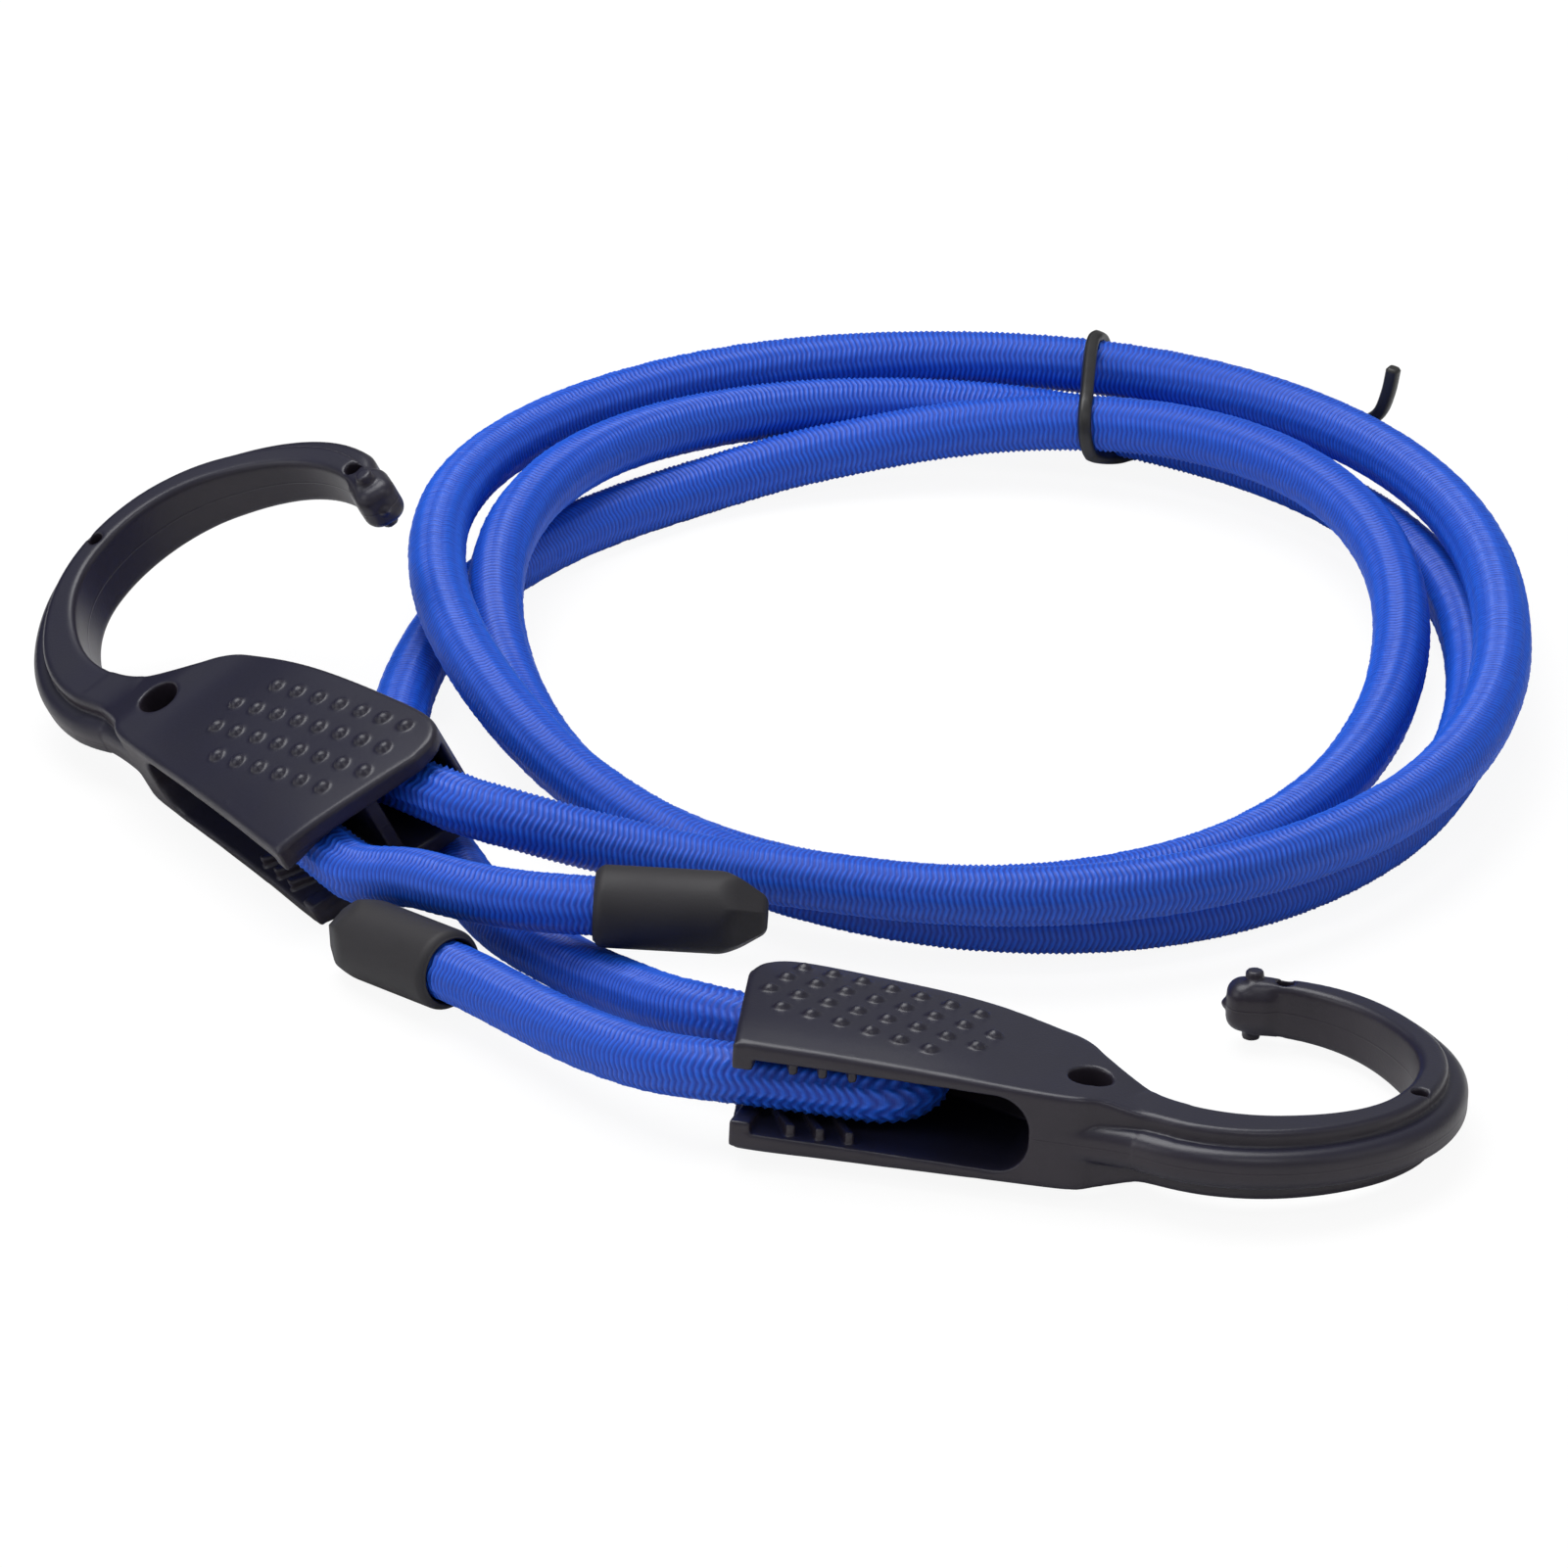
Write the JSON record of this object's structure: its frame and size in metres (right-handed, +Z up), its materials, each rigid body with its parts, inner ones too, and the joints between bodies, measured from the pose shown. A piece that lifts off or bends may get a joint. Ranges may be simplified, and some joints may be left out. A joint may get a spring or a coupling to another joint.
{
  "type": "bungee cord",
  "caption": "Elastic braided bungee cord tied in a hank, with an open plastic cleat hook on each end that grips the cord's turned-back tail, and capped tail ends.",
  "frame": {"origin": "on the floor under the middle of the box round the two hooks", "axes": "+Z up from the floor the cord lies on; +Y from the hooks at the front to the back of the hank; +X to the right, the side of the right hook's ring"},
  "size_m": [0.2306, 0.2886, 0.0408],
  "materials": {
    "hook_nylon": "satin moulded",
    "braid": "braided",
    "core_rubber": "matte strands",
    "cap_plastic": "matte moulded",
    "tie_coating": "coated wire"
  },
  "bodies": {
    "hank": {"coil_sheath": "braid", "coil_core": "core_rubber", "twist_tie": "tie_coating", "left_lead_sheath": "braid", "left_lead_core": "core_rubber", "right_lead_sheath": "braid", "right_lead_core": "core_rubber"},
    "left_hook": {"left_hook": "hook_nylon", "left_bend_sheath": "braid", "left_bend_core": "core_rubber"},
    "left_tail": {"left_tail_sheath": "braid", "left_tail_core": "core_rubber", "left_end_cap": "cap_plastic"},
    "right_hook": {"right_hook": "hook_nylon", "right_bend_sheath": "braid", "right_bend_core": "core_rubber"},
    "right_tail": {"right_tail_sheath": "braid", "right_tail_core": "core_rubber", "right_end_cap": "cap_plastic"}
  },
  "joints": [
    {"name": "left_hook_stretch", "type": "slide", "parent": "hank", "child": "left_hook", "axis": [-0.644, 0.765, 0], "range_m": [0, 0.035], "stiffness_N_per_m": 3000, "deforming": ["left_lead_sheath", "left_lead_core"]},
    {"name": "left_tail_feed", "type": "slide", "parent": "left_hook", "child": "left_tail", "axis": [0.8704, -0.4924, 0], "range_m": [-0.02, 0.02], "deforming": ["left_tail_sheath", "left_tail_core"]},
    {"name": "right_hook_stretch", "type": "slide", "parent": "hank", "child": "right_hook", "axis": [0.907, -0.421, 0], "range_m": [0, 0.06], "stiffness_N_per_m": 800, "deforming": ["right_lead_sheath", "right_lead_core"]},
    {"name": "right_tail_feed", "type": "slide", "parent": "right_hook", "child": "right_tail", "axis": [-0.82, 0.5724, 0], "range_m": [-0.02, 0.03], "deforming": ["right_tail_sheath", "right_tail_core"]}
  ]
}
